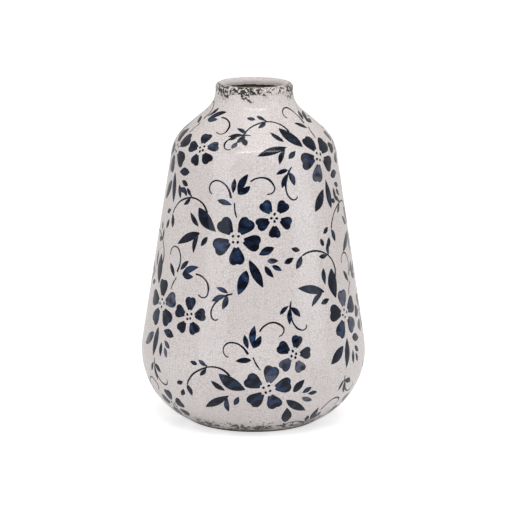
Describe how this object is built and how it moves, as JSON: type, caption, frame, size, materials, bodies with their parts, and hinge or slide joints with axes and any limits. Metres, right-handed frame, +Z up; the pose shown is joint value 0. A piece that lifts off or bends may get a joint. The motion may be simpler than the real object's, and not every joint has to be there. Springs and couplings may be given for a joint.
{
  "type": "pottery vase",
  "caption": "Tall shouldered flower vase in crackle-glazed pottery with a short neck, rolled lip and rounded belly.",
  "frame": {"origin": "centre of the foot, on the surface that the vase stands on", "axes": "+Z up along the axis of revolution, -Y towards the side that the picture shows, +X to its right"},
  "size_m": [0.1853, 0.1854, 0.28],
  "materials": {
    "fired_clay": "matte, fine grained",
    "crackle_glaze": "glossy white crackle glaze over blue painted flowers",
    "liner_glaze": "glossy brown liner glaze"
  },
  "bodies": {
    "root": {"clay_body": "fired_clay", "outer_glaze": "crackle_glaze", "inner_glaze": "liner_glaze"}
  },
  "joints": []
}
